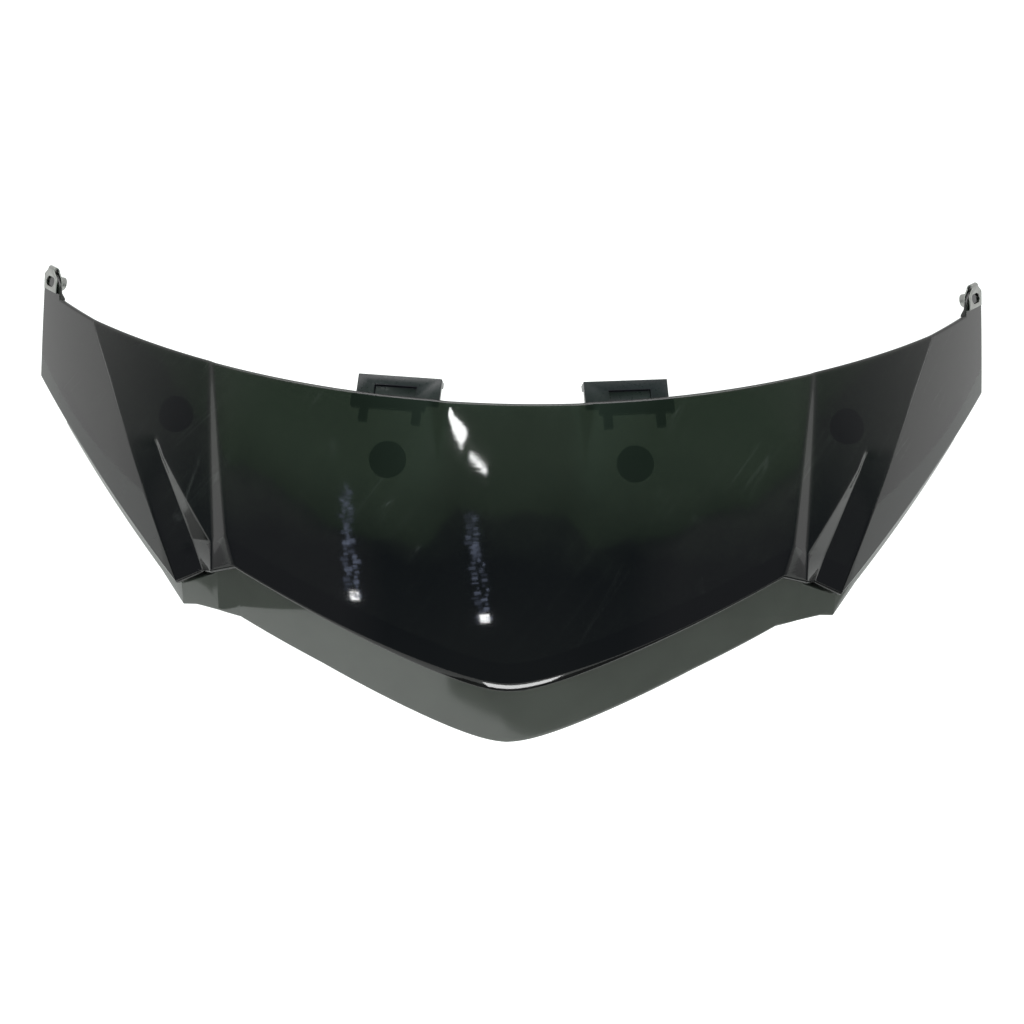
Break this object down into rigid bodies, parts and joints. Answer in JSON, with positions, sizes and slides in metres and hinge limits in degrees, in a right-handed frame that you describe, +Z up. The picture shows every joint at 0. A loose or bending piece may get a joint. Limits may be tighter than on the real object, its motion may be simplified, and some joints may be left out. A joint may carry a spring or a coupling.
{
  "type": "motorcycle windshield screen",
  "caption": "Small wrap-around smoke-tinted windshield screen with a V-shaped lower skirt, side recesses, hook clips along the top edge and a threaded clip nut on each ear.",
  "frame": {"origin": "on the mirror plane, in the middle of the part's depth, level with the lowest edge of the skirt", "axes": "+X to the right of someone looking at the front face, +Y rearward towards the ears, +Z up; the front faces -Y"},
  "size_m": [0.314, 0.1292, 0.118],
  "materials": {
    "smoke_screen": "polished smoke-tinted acrylic",
    "satin_skirt": "satin smoke-grey moulding",
    "bonding_tape": "black foam bonding strip",
    "clip_plastic": "black moulded plastic",
    "buffer_rubber": "soft black rubber",
    "zinc_steel": "zinc-plated spring steel"
  },
  "bodies": {
    "root": {"screen": "smoke_screen", "lower_skirt": "satin_skirt", "left_skirt_tape": "bonding_tape", "right_skirt_tape": "bonding_tape", "left_hook_clip": "clip_plastic", "right_hook_clip": "clip_plastic", "left_upper_buffer": "buffer_rubber", "right_upper_buffer": "buffer_rubber", "left_side_buffer": "buffer_rubber", "right_side_buffer": "buffer_rubber", "left_clip_nut": "zinc_steel", "right_clip_nut": "zinc_steel"}
  },
  "joints": []
}
